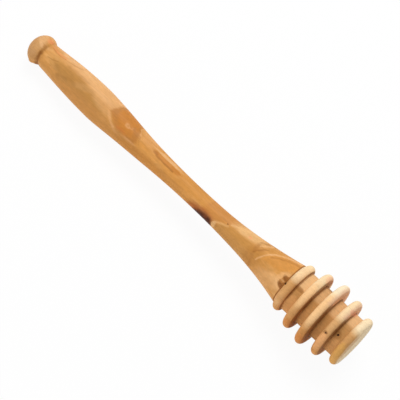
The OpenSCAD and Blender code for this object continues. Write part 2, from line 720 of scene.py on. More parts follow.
@dataclass(frozen=True)
class Streak(Mark):
    """A line of the grain between two places.

    Attributes:
        start: Where it begins, along and across.
        end: Where it ends.
        width: Its width.
        bend: How far its middle stands off the straight line.
        softness: The share of its width over which it fades.
    """

    start: Place
    end: Place
    width: float
    bend: float = 0.0
    softness: float = 0.8

    def mask(self, grain: Grain) -> Socket:
        """1 on the line and 0 away from it.

        Args:
            grain: The wood's directions on the piece.

        Returns:
            The mask, which falls off over the softness.
        """
        graph = grain.graph
        run = self.end[0] - self.start[0]
        climb = self.end[1] - self.start[1]
        length = math.hypot(run, climb)
        away = graph.vector("SUBTRACT", grain.spot, (self.start[0], 0, self.start[1]))
        ahead = graph.dot(away, (run / length, 0, climb / length))
        aside = graph.dot(away, (-climb / length, 0, run / length))
        within = graph.node("ShaderNodeClamp", inputs={"Value": ahead, "Min": 0.0, "Max": length})
        arch = within * (length - within) * (4 * self.bend / length**2)
        off = graph.length(ahead - within, aside - arch)
        half = self.width / 2
        return off.smooth(half * (1 + self.softness), half * (1 - self.softness))


@dataclass(frozen=True)
class Wedge(Mark):
    """A mark with straight sides that meet in corners.

    Attributes:
        corners: Its corners along and across, in the order that turns from along towards across.
        softness: The width over which its sides fade.
    """

    corners: tuple[Place, ...]
    softness: float = 0.4

    def mask(self, grain: Grain) -> Socket:
        """1 inside the corners and 0 outside.

        Args:
            grain: The wood's directions on the piece.

        Returns:
            The mask, which falls off over the softness.
        """
        graph = grain.graph
        deepest: Socket | None = None
        for first, second in zip(self.corners, self.corners[1:] + self.corners[:1]):
            run = second[0] - first[0]
            climb = second[1] - first[1]
            length = math.hypot(run, climb)
            inward = (-climb / length, 0, run / length)
            offset = (first[0] * climb - first[1] * run) / length
            side = graph.dot(grain.spot, inward) + offset
            deepest = side if deepest is None else deepest.math("MINIMUM", side)
        return deepest.smooth(-self.softness / 2, self.softness / 2)


@dataclass(frozen=True)
class Band(Mark):
    """A band that goes round the piece between two places along it.

    Attributes:
        start: Where it begins along the axis.
        end: Where it ends.
        softness: The width over which each side fades.
    """

    start: float
    end: float
    softness: float = 0.3

    def mask(self, grain: Grain) -> Socket:
        """1 in the band and 0 outside.

        Args:
            grain: The wood's directions on the piece.

        Returns:
            The mask, which falls off over the softness.
        """
        half = self.softness / 2
        begun = grain.x.smooth(self.start - half, self.start + half)
        return begun * grain.x.smooth(self.end + half, self.end - half)


@dataclass(frozen=True)
class YearRings(Mark):
    """The tree's rings where the wood is cut square to its length.

    Attributes:
        start: The place along the axis past which they show.
    """

    start: float

    def mask(self, grain: Grain) -> Socket:
        """1 on a ring and 0 between the rings."""
        return grain.growth_lines() * grain.x.smooth(self.start - 0.1, self.start + 0.1)


@dataclass(frozen=True)
class OliveWood:
    """The finish of turned olive wood.

    Attributes:
        ground: The wood's commonest colour.
        pale: The colour of its paler bands.
        deep: The colour of its darker bands.
        line: The colour of its growth lines.
        band_share: How strongly the bands show.
        line_share: How strongly the growth lines show.
        roughness: How matt the surface is.
        coat: How much oil stands on it.
        shine: How strongly it mirrors.
        mottle: How much its brightness differs from spot to spot.
    """

    ground: Colour
    pale: Colour
    deep: Colour
    line: Colour
    band_share: float
    line_share: float
    roughness: float
    coat: float
    shine: float
    mottle: float

    def colour(self, grain: Grain, marks: Iterable[Mark]) -> Socket:
        """The wood's colour with its marks.

        Args:
            grain: The wood's directions on the piece.
            marks: The marks, each on top of those before it.

        Returns:
            The colour for the shader.
        """
        graph = grain.graph
        drift = grain.noise(0.05, 0.22, 3, 21.0, slant=1.6)
        ground = linear(self.ground)
        base = graph.blend(drift.smooth(0.52, 0.72) * self.band_share, ground, self.pale)
        base = graph.blend(drift.smooth(0.48, 0.30) * self.band_share, base, self.deep)
        base = graph.blend(grain.growth_lines() * self.line_share, base, self.line)
        cloud = grain.noise(0.22, 0.5, 3, 25.0, slant=-0.8)
        base = graph.blend(cloud.smooth(0.55, 0.72) * 0.35, base, self.pale)
        base = graph.blend(cloud.smooth(0.45, 0.30) * 0.35, base, self.deep)
        for mark in marks:
            base = mark.over(grain, base)
        fibres = grain.noise(0.16, 3.2, 4, 31.0).spread(0.90, 1.08)
        spots = grain.noise(0.55, 0.8, 2, 35.0).spread(1 - self.mottle, 1 + self.mottle)
        toned = graph.vector("SCALE", base, fibres * spots)
        pores = grain.noise(0.5, 7.0, 2, 41.0).smooth(0.62, 0.76)
        return graph.blend(pores * 0.22, toned, self.line)

    def relief(self, grain: Grain) -> Socket:
        """The fine height of the surface: fibres, pores and the tool's rings.

        Args:
            grain: The wood's directions on the piece.

        Returns:
            The height for a Bump node.
        """
        fibre = grain.noise(0.25, 4.5, 3, 51.0)
        pores = grain.noise(0.5, 7.0, 2, 41.0).smooth(0.60, 0.80)
        tool = (grain.x * 7.5 + grain.noise(0.1, 0.2, 1, 61.0) * 4).math("SINE")
        return fibre * 0.5 - pores * 0.6 + tool * 0.10

    def material(self, name: str, axis: TurningAxis, marks: Iterable[Mark]) -> bpy.types.Material:
        """Builds the material.

        Args:
            name: Its name.
            axis: The line that the piece was turned on.
            marks: The marks of the wood.

        Returns:
            The material.
        """
        made = bpy.data.materials.new(name)
        made.use_nodes = True
        graph = Graph(made.node_tree)
        grain = Grain(graph, axis)
        height = {"Height": self.relief(grain), "Strength": 0.25, "Distance": 0.08 * MM}
        bump = graph.node("ShaderNodeBump", inputs=height)
        matt = grain.noise(0.3, 2.0, 3, 71.0) * 0.16 + (self.roughness - 0.08)
        surface = graph.node(
            "ShaderNodeBsdfPrincipled",
            inputs={
                "Base Color": self.colour(grain, marks),
                "Roughness": matt,
                "Normal": bump,
                "Coat Weight": self.coat,
                "Coat Roughness": 0.35,
                "Specular IOR Level": self.shine,
            },
        )
        graph.node("ShaderNodeOutputMaterial", inputs={"Surface": surface})
        return made


def arc(centre: Place, radius: float, start: float, end: float, steps: int) -> list[Place]:
    """Points of a round stretch of an outline.

    Args:
        centre: Its centre, along and out.
        radius: Its radius.
        start: The first angle in degrees, from along the axis towards the rim.
        end: The last angle.
        steps: The number of steps between them.

    Returns:
        The points, along and out.
    """
    angles = [math.radians(start + (end - start) * k / steps) for k in range(steps + 1)]
    return [(centre[0] + radius * math.cos(a), centre[1] + radius * math.sin(a)) for a in angles]


def swell(start: Place, end: Place, power: float, steps: int) -> list[Place]:
    """Points of a long curve that leaves and arrives level.

    Args:
        start: Its first point, along and out, which isn't repeated.
        end: Its last point.
        power: How early it changes, where lower is earlier.
        steps: The number of steps.

    Returns:
        The points after the first.
    """
    points = []
    for k in range(1, steps + 1):
        share = k / steps
        wave = (1 - math.cos(math.pi * share**power)) / 2
        points.append((start[0] + (end[0] - start[0]) * share, start[1] + (end[1] - start[1]) * wave))
    return points


def inset(outline: list[Place], depth: float) -> list[Place]:
    """Moves an outline into the wood, square to its own slopes.

    Args:
        outline: Its points, along and out, from one end on the axis to the other.
        depth: How far it moves.

    Returns:
        The moved points, of which the first and the last stay on the axis.
    """
    slopes = [
        Vector((first[1] - second[1], second[0] - first[0])).normalized()
        for first, second in zip(outline, outline[1:])
    ]
    points = []
    for point, before, after in zip(outline, slopes[:1] + slopes, slopes + slopes[-1:]):
        out = (before + after) / (1 + before.dot(after))
        points.append((point[0] - out.x * depth, max(0.0, point[1] - out.y * depth)))
    return [(points[0][0], 0.0), *points[1:-1], (points[-1][0], 0.0)]


@dataclass
class TurnedPiece:
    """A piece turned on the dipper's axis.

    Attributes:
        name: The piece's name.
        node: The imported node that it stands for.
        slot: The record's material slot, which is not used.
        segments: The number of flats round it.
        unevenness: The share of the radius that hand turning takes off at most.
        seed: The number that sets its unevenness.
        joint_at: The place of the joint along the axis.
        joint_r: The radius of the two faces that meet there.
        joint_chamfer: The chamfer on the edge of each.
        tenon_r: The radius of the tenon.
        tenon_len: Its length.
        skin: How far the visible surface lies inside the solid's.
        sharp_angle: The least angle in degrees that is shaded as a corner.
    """

    name: str
    node: str
    slot: str
    segments: int = 200
    unevenness: float = 0.004
    seed: int = 3
    joint_at: float = 129.4
    joint_r: float = 8.4
    joint_chamfer: float = 0.14
    tenon_r: float = 4.0
    tenon_len: float = 17.0
    skin: float = 0.02
    sharp_angle: float = 38.0

    def outline(self) -> list[Place]:
        """The points of the outline, along and out."""
        raise NotImplementedError

    def bend(self) -> dict[str, float]:
        """The tree's inputs for the bow of the piece."""
        return {"Knob shift": 0.0, "Bow": 0.0}

    def carvings(self) -> list[Carving]:
        """The places that differ from the turned shape."""
        return []

    def finish(self, axis: TurningAxis) -> bpy.types.Material:
        """The piece's material."""
        raise NotImplementedError

    def build(self, axis: TurningAxis, lathe: Lathe) -> bpy.types.Object:
        """Turns, carves and dresses the piece, and puts it in its node's place.

        Args:
            axis: The line that it is turned on.
            lathe: The tree that turns it.

        Returns:
            The finished piece.
        """
        values = {
            "Segments": self.segments,
            "Start": axis.start,
            "Along": axis.along,
            "Across": axis.across,
            "Toward": axis.toward,
            "Unevenness": self.unevenness,
            "Seed": self.seed,
            "Knob shift until": 20.0,
            "Straight at": 42.0,
            "Bow from": 62.0,
            "Bow until": 96.0,
            "Bow end": 124.0,
            "Sharp angle": math.radians(self.sharp_angle),
            "Finish": self.finish(axis),
        }
        points = inset(self.outline(), self.skin)
        piece = lathe.run(self.name, points, values | self.bend())
        carve(piece, axis, self.carvings())
        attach(piece, "root")
        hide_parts(self.node)
        LOG.info("%s: %d points", piece.name, len(piece.data.vertices))
        return piece


@dataclass
class Handle(TurnedPiece):
    """The slim waisted handle with its round knob and its tenon.

    Attributes:
        knob_r: The radius of the knob where it is widest.
        knob_half: Half the length of the knob, were it whole.
        hollow_from: The angle round the knob at which the hollow behind it begins.
        cove_r: The radius of that hollow.
        belly_r: The radius of the grip where it is fullest.
        belly_at: The fullest place of the grip along the axis.
        waist_r: The radius of the slender waist.
        waist_at: The place of the waist along the axis.
        belly_rise: How early the grip swells behind the neck, where lower is earlier.
        waist_fall: How early it falls towards the waist, where lower is earlier.
        flare_power: How late the waist flares out to the head, where higher is later.
    """

    knob_r: float = 5.95
    knob_half: float = 4.8
    hollow_from: float = 60.0
    cove_r: float = 1.0
    belly_r: float = 6.5
    belly_at: float = 34.5
    waist_r: float = 3.7
    waist_at: float = 83.5
    belly_rise: float = 0.64
    waist_fall: float = 0.7
    flare_power: float = 2.35

    def knob(self, steps: int) -> list[Place]:
        """The points round the flattened ball of the knob, up to the hollow behind it."""
        angles = [math.radians(180 + (self.hollow_from - 180) * k / steps) for k in range(steps + 1)]
        return [(self.knob_half * (1 + math.cos(a)), self.knob_r * math.sin(a)) for a in angles]

    def outline(self) -> list[Place]:
        """The points of the outline, along and out.

        Returns:
            The points from the knob's end to the tenon's.
        """
        knob = self.knob(steps=44)
        turned = math.radians(self.hollow_from)
        way = Vector((math.cos(turned) / self.knob_half, math.sin(turned) / self.knob_r)).normalized()
        centre = (knob[-1][0] + self.cove_r * way.x, knob[-1][1] + self.cove_r * way.y)
        start = math.degrees(math.atan2(way.y, way.x)) + 180
        cove = arc(centre, self.cove_r, start, 270, steps=8)[1:]
        belly = (self.belly_at, self.belly_r)
        grip = swell(cove[-1], belly, self.belly_rise, steps=44)
        fall = swell(belly, (self.waist_at, self.waist_r), self.waist_fall, steps=60)
        joint = [
            (self.joint_at, self.joint_r - self.joint_chamfer),
            (self.joint_at, self.tenon_r),
            (self.joint_at + self.tenon_len, self.tenon_r),
            (self.joint_at + self.tenon_len, 0),
        ]
        return knob + cove + grip + fall + self.flare(steps=70) + joint

    def flare(self, steps: int) -> list[Place]:
        """The points of the trumpet from the waist to the chamfer at the joint.

        Args:
            steps: The number of steps.

        Returns:
            The points after the first.
        """
        points = []
        run = self.joint_at - self.waist_at
        for k in range(1, steps + 1):
            share = (k / steps) * (1 - self.joint_chamfer / run)
            out = self.waist_r + (self.joint_r - self.waist_r) * share**self.flare_power
            points.append((self.waist_at + run * share, out))
        return points

    def bend(self) -> dict[str, float]:
        """The tree's inputs for the bow of the handle."""
        return {"Knob shift": -0.24, "Bow": 0.38}

    def carvings(self) -> list[Carving]:
        """The cut behind the knob, deepest on the lower side, and the lip in front of it.

        Returns:
            The cut in two parts, and the lip.
        """
        return [
            Carving(x=6.4, half_length=1.9, angle=-5, half_angle=90, depth=0.34),
            Carving(x=6.9, half_length=0.8, angle=40, half_angle=60, depth=0.3),
            Carving(x=4.2, half_length=0.8, angle=8, half_angle=42, depth=-0.22, power=1.4),
        ]

    def finish(self, axis: TurningAxis) -> bpy.types.Material:
        """Oiled olive wood with the marks of the handle.

        Args:
            axis: The line that the piece was turned on.

        Returns:
            The material.
        """
        wood = OliveWood(
            ground=(216, 153, 80),
            pale=(238, 184, 120),
            deep=(197, 134, 60),
            line=(160, 100, 44),
            band_share=0.6,
            line_share=0.10,
            roughness=0.55,
            coat=0.04,
            shine=0.12,
            mottle=0.05,
        )
        return wood.material("oiled_olive_wood", axis, self.marks())

    def marks(self) -> list[Mark]:
        """The marks of the handle's wood, with painted light and shade, from the knob to the joint."""
        groups = (self.floor_marks, self.grip_marks, self.heart_marks, self.waist_marks, self.flare_marks)
        return [mark for group in groups for mark in group()]

    def floor_marks(self) -> list[Mark]:
        """The marks of the side that the photograph doesn't show.

        Returns:
            The marks, each on top of those before it.
        """
        tan = (194, 136, 70)
        pale = (240, 190, 130)
        orange = (210, 138, 62)
        brown = (150, 92, 38)
        floor = Facing.FLOOR
        return [
            Patch("deep run on the grip", tan, 0.7, (24, 1.5), 17, 2.4, -4, facing=floor),
            Patch("pale run on the grip", pale, 0.5, (34, -3), 16, 1.6, 3, facing=floor),
            Patch("orange run on the slope", orange, 0.6, (60, 0.5), 14, 1.8, -3, 0.8, facing=floor),
            Streak("first long line", brown, 0.28, (14, 2.6), (52, 0.4), 0.6, 0.9, facing=floor),
            Streak("second long line", brown, 0.25, (38, -2.2), (92, -0.6), 0.5, -0.8, facing=floor),
            Streak("pale line on the waist", pale, 0.5, (70, 2), (104, -1.6), 0.6, 0.5, facing=floor),
            Patch("deep flare", tan, 0.6, (116, 2), 9, 3.2, 8, facing=floor),
            Streak("pale line on the flare", pale, 0.5, (104, 3), (127, -3.6), 0.7, 0.9, facing=floor),
            Streak("brown flare line", brown, 0.3, (106, 3.9), (128, -2.6), 0.6, 0.9, facing=floor),
        ]

    def grip_marks(self) -> list[Mark]:
        """The marks of the knob and the grip, with painted light and shade on their sides and creases.

        Returns:
            The marks, each on top of those before it.
        """
        tan = (187, 134, 70)
        low = (203, 141, 72)
        dull = (198, 151, 102)
        orange = (215, 146, 68)
        pale = (243, 190, 134)
        brown = (150, 94, 38)
        rosy = (236, 150, 94)
        return [
            # Painted highlight on the grip's upper side, where the key lamp falls.
            Patch("pale top of the grip", pale, 0.55, (28, -5), 19, 2.6, 2),
            Patch("warm slender part", orange, 0.45, (72, 0.3), 24, 5, 0, 0.7),
            Patch("dark front of the grip", tan, 0.9, (25.5, 0.4), 13.5, 2.9, 2.5, 0.6),
            # Painted shade on the grip's low side, away from the key lamp.
            Patch("dark low side of the grip", low, 0.7, (37, 4.4), 24, 3, -1, 0.7),
            Patch("dark cloud on the grip", tan, 0.45, (19, 1.9), 3, 1.6, -25, 0.8),
            Patch("pale cloud on the grip", pale, 0.16, (28.5, -0.9), 4.5, 1.3, -20),
            Patch("pale way to the heart", pale, 0.32, (37.6, -1.2), 6, 2.2, 10),
            Patch("dull face of the knob", dull, 0.6, (3.4, -0.2), 3, 4.4),
            Patch("rosy spot on the knob", rosy, 0.7, (6.2, -4.6), 1.2, 0.8, 0, 0.5),
            # Painted highlight on the knob's upper side, where the key lamp falls.
            Patch("pale top of the knob", pale, 0.5, (3.6, -3.8), 2, 1.8, 20),
            Patch("pale spot on the knob", pale, 0.5, (4.9, -1.7), 1.2, 0.6, 30),
            # Painted shade on the knob's low side, away from the key lamp.
            Patch("dark low side of the knob", dull, 0.4, (4, 3.6), 3, 2),
            # Painted shade in the hollow and the crease behind the knob, darkest at its lower edge.
            Band("painted shade in the hollow behind the knob", brown, 0.12, 6.9, 8.4, 0.8),
            Streak("shade behind the knob", brown, 0.5, (6.6, -2.4), (6.9, 1.2), 1.1, 0, 0.9),
            Streak("crease behind the knob", brown, 0.8, (6.8, 0.7), (6.9, 5.4), 1.15, -0.1, 0.9),
            Patch("brown edge of the knob", brown, 0.5, (7.6, 5.2), 1.2, 1, 0, 0.5),
            Streak("rosy line from the neck", rosy, 0.45, (8.5, -4), (15.2, -4), 0.8, 0.5, 0.9),
            Streak("dark line from the neck", brown, 0.3, (8.5, -3.7), (15.2, -3.6), 0.35, 0.5),
            Streak("rosy line along the grip", brown, 0.3, (15.2, -3.6), (22.6, -5.2), 0.35, 0.3),
            Streak("pale line along the grip", pale, 0.5, (13.6, -4.6), (21.6, -5.8), 0.6, 0.3),
            Streak("fine line on the grip", brown, 0.35, (9.8, 0), (14, -1.3), 0.35, 0.2),
            Streak("edge of the dark front", brown, 0.2, (18.6, -2.9), (28.2, -3), 0.7, -0.2),
            Streak("low edge of the dark front", brown, 0.16, (16.7, 2.6), (24.5, 0.6), 1, -0.4),
        ]

    def heart_marks(self) -> list[Mark]:
        """The marks of the orange heart and of the bar beyond it.

        Returns:
            The marks, each on top of those before it.
        """
        orange = (205, 132, 56)
        rim = (190, 125, 59)
        low = (205, 135, 56)
        pale = (238, 178, 118)
        brown = (154, 94, 36)
        rosy = (212, 122, 58)
        cream = (244, 194, 138)
        golden = (196, 124, 42)
        return [
            Wedge(
                "dark rim of the heart", rim, 0.85,
                ((41, -1.3), (42.1, -4), (43.4, -6.8), (52.4, -6.8), (54.4, -2.6), (56.4, 0.7), (54.8, 2),
                 (50.2, 2.5), (46.7, 2), (43.2, 0.3)),
                1.4,
            ),
            Wedge(
                "orange heart", orange, 0.8,
                ((43.8, -1.8), (43.9, -4.2), (45, -6.8), (51.6, -6.8), (53.2, -2.6), (53.2, 0.6),
                 (50.4, 1.7), (47.8, 1.2), (45.4, -0.4)),
                1.6,
            ),
            Patch("rosy floor of the heart", rosy, 0.4, (48.2, 1.2), 2.2, 0.6),
            Patch("pale eye in the heart", pale, 0.5, (49.2, -1.5), 1.1, 0.8, 20),
            Patch("pupil of the eye", orange, 0.5, (49.5, -1.6), 0.45, 0.3, 20),
            Streak("tail of the eye", pale, 0.3, (50.2, -1.2), (51.9, -2.6), 0.7, 0.2, 0.9),
            Streak("dark band in the heart", rim, 0.8, (51.8, -2.6), (54.6, 0.9), 1),
            Streak("pale notch over the heart", pale, 0.8, (39.6, -5), (43.6, -6.2), 0.6, 0.1),
            Streak("pale side of the heart", pale, 0.5, (53.4, -4.3), (55.3, -1.9), 0.4, 0.2),
            Streak("line right of the heart", brown, 0.2, (55.1, -2), (57, 0.8), 0.4, 0.1),
            Streak("pale line under the heart", pale, 0.5, (41, -0.4), (45.4, 2.3), 0.9, 0.25),
            Streak("faint end of that line", pale, 0.25, (45.4, 2.3), (48.6, 3.6), 0.8, 0.1),
            Patch("pale floor of the heart", pale, 0.4, (53.2, 2.1), 2.8, 0.4, -2),
            Streak("dark floor of the heart", brown, 0.22, (48, 3.6), (56, 2.9), 1, 0.1),
            Patch("pale run past the heart", pale, 0.35, (58.6, -3.2), 4, 1.6),
            Streak("long low line", brown, 0.2, (56, 2.9), (79, 1.7), 1, -0.2),
            Patch("warm low side past the heart", low, 0.5, (60, 4), 12, 1.8, -1),
            Patch("orange bar", orange, 0.75, (69, -1.5), 6.8, 0.8, 0.5, 0.45),
            Patch("golden end of the bar", golden, 0.6, (73, -1.3), 2.2, 0.9, 0, 0.5),
            Streak("line under the bar", brown, 0.55, (64, -0.8), (72.4, -0.5), 0.6),
            Patch("dark end of the bar", brown, 0.4, (63.2, -1.4), 1.2, 0.6, 0, 0.8),
            Patch("pale line over the bar", cream, 0.65, (68.4, -2.6), 6.4, 0.5, 0.5),
        ]

    def waist_marks(self) -> list[Mark]:
        """The marks of the waist, with its pocket of bark.

        Returns:
            The marks, each on top of those before it.
        """
        orange = (205, 138, 70)
        tan = (198, 141, 72)
        pale = (240, 190, 128)
        dark = (66, 20, 0)
        rosy = (246, 164, 110)
        rusty = (170, 88, 34)
        return [
            Wedge(
                "orange waist", orange, 0.8,
                ((88.8, 2.4), (89.2, 0), (90.6, -4.2), (107.6, -4.6), (101.4, -0.9), (95.6, 1.8)),
                1.6,
            ),
            Wedge(
                "tan wood past the waist", tan, 0.7,
                ((95.3, 5.5), (96.2, 2.2), (102.4, -1), (111.6, -1.3), (113.4, 2), (112.4, 6)),
                0.8,
            ),
            Patch("rusty edge", rusty, 0.6, (85.8, 3.4), 3.4, 0.8, -6),
            Patch("rusty shade round the pocket", rusty, 0.65, (90.1, 2.8), 5.4, 1.6),
            Wedge(
                "dark bark pocket", dark, 0.95,
                ((84.8, 4.5), (88.2, 2.9), (91, 2.3), (93.6, 2.4), (94.7, 3.3), (95.2, 5.5), (84.4, 5.5)),
                1.4,
            ),
            Patch("glow in the pocket", rusty, 0.3, (91.6, 3), 0.9, 0.35),
            Patch("pale flare", pale, 0.75, (108.2, -3.2), 6.5, 1.8, -8),
            Patch("rosy spot on the flare", rosy, 0.5, (108.8, -2.4), 0.8, 0.6),
            Patch("pale blob past the pocket", pale, 0.75, (95.6, 3), 0.8, 1.1, 0, 0.7),
            Streak("pale line from the pocket", pale, 0.4, (95.9, 1.8), (100.3, 0.2), 0.6, 0.1, 0.9),
            Streak("pale line up the waist", pale, 0.55, (101.1, -1.1), (109.9, -4.3), 0.7, -0.25, 0.9),
            Patch("pale grain beside the line", pale, 0.3, (105.4, -2), 1.6, 1),
            Patch("speck on the line", dark, 0.85, (99.8, -0.4), 0.24, 0.16, 0, 0.5),
        ]

    def flare_marks(self) -> list[Mark]:
        """The marks of the flare, with the knot at the joint.

        Returns:
            The marks, each on top of those before it.
        """
        pale = (246, 192, 134)
        orange = (218, 149, 70)
        tan = (193, 132, 62)
        brown = (150, 90, 34)
        crack = (112, 60, 18)
        black = (36, 16, 6)
        knot = (176, 114, 50)
        rays = [(1.9, -0.2), (1.5, -1.4), (0.6, -2.2), (1.6, 1.2), (0.8, 2.2)]
        return [
            Patch("deep wood before the sweep", tan, 0.75, (114, 1.6), 3.2, 4.2, 20, 0.8),
            Patch("deep low side of the flare", tan, 0.15, (116, 6), 11, 1.8, -3),
            Streak("fold before the sweep", brown, 0.25, (112.8, -2.6), (114.6, 4.8), 1.3, 0.3, 0.9),
            Wedge(
                "orange field", orange, 0.75,
                ((115.6, 3), (118.6, -2.8), (121.4, -5.6), (128.2, -8.3), (131.7, -8.9), (131.7, -1.5),
                 (124.5, -0.6), (119.4, 3.2)),
                1.2,
            ),
            Patch("deep field in the flare", tan, 0.35, (119.6, 0.8), 4.2, 2.2, -20),
            Patch("pale low field by the knot", pale, 0.35, (123.6, 4), 5.2, 2.6, -8),
            Streak("dark sweep, first", brown, 0.4, (113.4, 0.3), (116.6, -3.5), 0.6, -0.3),
            Streak("dark sweep, second", brown, 0.35, (112.9, -3.6), (118.4, -6.2), 0.6, -0.2),
            Streak("pale sweep, first", pale, 0.5, (113.7, -2.6), (116.9, -5.2), 0.5, -0.1),
            Streak("pale sweep, low", pale, 0.45, (115.7, 2), (118.5, -2.9), 0.55, -0.35, 0.9),
            Streak("pale sweep, high", pale, 0.6, (118.5, -2.9), (128.6, -7.6), 0.6, -0.8, 0.9),
            Streak("dark side of the sweep", brown, 0.3, (119.4, -2.2), (128.8, -6.6), 0.6, -0.7),
            Patch("pale ring of the knot", pale, 0.5, (128.7, 0.9), 3.4, 3.4, 0, 0.4),
            Patch("knot at the joint", knot, 0.9, (129.3, 1), 2.35, 2.65, 0, 0.22),
            *(
                Streak("ray of the knot", crack, 0.45, (129.4 - run, 1 + rise), (129.5, 1), 0.35)
                for run, rise in rays
            ),
            Patch("dark upper part of the knot", crack, 0.5, (128.1, -0.5), 1.1, 0.8, 30),
            Patch("dark lower part of the knot", crack, 0.6, (128.3, 2.4), 1.3, 0.7, 20),
            Patch("pale split of the knot", pale, 0.35, (127.9, 0.8), 1.3, 0.3, 4),
            Patch("heart of the knot", black, 0.95, (129.6, 0.9), 0.45, 0.42, 0, 0.5),
            Band("line under the joint", brown, 0.75, 128.95, 131, 0.35),
        ]


@dataclass
class DipperHead(TurnedPiece):
    """The barrel-shaped head: five rounded rings with deep grooves between them.

    Attributes:
        ring_count: The number of rings.
        ring_pitch: The distance from one ring to the next.
        first_ring_at: The distance from the joint to the first ring's crest.
        first_ring_r: The radius of the ring next to the handle.
        widest_ring_r: The radius of the ring halfway along the head.
        last_ring_r: The radius of the ring at the tip.
        barrel_power: How full the head is between its middle and its ends.
        rim_r: The radius of a ring's rounded rim.
        wall_slope: The slope of a ring's sides in degrees, from square to the axis.
        groove_r: The radius at the bottom of the grooves.
        groove_fillet: The radius of the fillet at the foot of a ring.
        end_round: The radius of the edge round the end face.
        glue_gap: The room for glue round the tenon.
        glue_pocket: The room for glue beyond the tenon's end.
        drill_angle: The angle of the drill's point in degrees.
    """

    ring_count: int = 5
    ring_pitch: float = 6.75
    first_ring_at: float = 2.0
    first_ring_r: float = 10.0
    widest_ring_r: float = 13.2
    last_ring_r: float = 10.2
    barrel_power: float = 1.5
    rim_r: float = 1.6
    wall_slope: float = 1.0
    groove_r: float = 8.2
    groove_fillet: float = 0.3
    end_round: float = 1.6
    glue_gap: float = 0.05
    glue_pocket: float = 1.0
    drill_angle: float = 118.0

    def ring_at(self, ring: int) -> float:
        """The place of a ring's crest along the axis."""
        return self.joint_at + self.first_ring_at + ring * self.ring_pitch

    def ring_r(self, ring: int) -> float:
        """The radius of a ring, which swells to the middle of the head.

        Args:
            ring: The ring's number from the handle.

        Returns:
            The radius in millimetres.
        """
        place = 2 * ring / (self.ring_count - 1) - 1
        end_r = self.first_ring_r if place < 0 else self.last_ring_r
        return self.widest_ring_r - (self.widest_ring_r - end_r) * abs(place) ** self.barrel_power

    def slope(self, ring: int) -> float:
        """The slope of a ring's sides, which is steeper where the ring is low.

        Args:
            ring: The ring's number from the handle.

        Returns:
            The slope in degrees, from square to the axis.
        """
        lift = max(0.0, self.groove_r + self.groove_fillet - (self.ring_r(ring) - self.rim_r))
        least = math.degrees(math.asin(lift / (self.rim_r + self.groove_fillet)))
        return max(self.wall_slope, least)

    def foot(self, ring: int, facing: int) -> list[Place]:
        """The fillet where a ring's side meets the bottom of the groove.

        Args:
            ring: The ring's number from the handle.
            facing: -1 towards the handle and 1 towards the tip.

        Returns:
            Its points in order along the axis.
        """
        out = self.groove_r + self.groove_fillet
        drop = self.ring_r(ring) - self.rim_r - out
        slope = self.slope(ring)
        tilt = math.radians(slope)
        run = (self.rim_r + self.groove_fillet + drop * math.sin(tilt)) / math.cos(tilt)
        centre = (self.ring_at(ring) + facing * run, out)
        if facing < 0:
            return arc(centre, self.groove_fillet, 270, 360 - slope, steps=8)
        return arc(centre, self.groove_fillet, 180 + slope, 270, steps=8)

    def rim(self, ring: int, start: float, end: float) -> list[Place]:
        """The round rim of a ring."""
        return arc((self.ring_at(ring), self.ring_r(ring) - self.rim_r), self.rim_r, start, end, steps=22)

    def bore(self) -> list[Place]:
        """The blind bore for the tenon, from its point out to the joint's edge.

        Returns:
            Its points, along and out.
        """
        bore_r = self.tenon_r + self.glue_gap
        depth = self.tenon_len + self.glue_pocket
        point = bore_r / math.tan(math.radians(self.drill_angle / 2))
        return [
            (self.joint_at + depth + point, 0),
            (self.joint_at + depth, bore_r),
            (self.joint_at, bore_r),
            (self.joint_at, self.joint_r - self.joint_chamfer),
        ]

    def outline(self) -> list[Place]:
        """The points of the outline, along and out.

        Returns:
            The points from the bore's end to the middle of the end face.
        """
        step = (self.joint_r - (self.ring_r(0) - self.rim_r), -self.first_ring_at)
        behind = math.degrees(math.atan2(*step)) % 360
        first = behind - math.degrees(math.acos(self.rim_r / math.hypot(*step)))
        points = self.bore()
        last = self.ring_count - 1
        for ring in range(self.ring_count):
            slope = self.slope(ring)
            if ring > 0:
                points += self.foot(ring, -1)
            start = first if ring == 0 else 180 - slope
            points += self.rim(ring, start, 90 if ring == last else slope)
            if ring < last:
                points += self.foot(ring, 1)
        end_at = self.ring_at(last)
        edge = (end_at, self.ring_r(last) - self.end_round)
        points += arc(edge, self.end_round, 90, 0, steps=20)[1:]
        points.append((end_at + self.end_round, edge[1] / 2))
        points.append((end_at + self.end_round, 0))
        return points

    def finish(self, axis: TurningAxis) -> bpy.types.Material:
        """Dry olive wood, pale on the upper side, with the marks of the head.

        Args:
            axis: The line that the piece was turned on.

        Returns:
            The material.
        """
        wood = OliveWood(
            ground=(222, 166, 106),
            pale=(240, 190, 134),
            deep=(206, 148, 88),
            line=(156, 100, 50),
            band_share=0.5,
            line_share=0.10,
            roughness=0.66,
            coat=0.0,
            shine=0.08,
            mottle=0.06,
        )
        return wood.material("dry_olive_wood", axis, self.marks())

    def marks(self) -> list[Mark]:
        """The marks of the head's wood, with painted light and shade."""
        return self.sapwood_marks() + self.groove_marks() + self.small_marks()

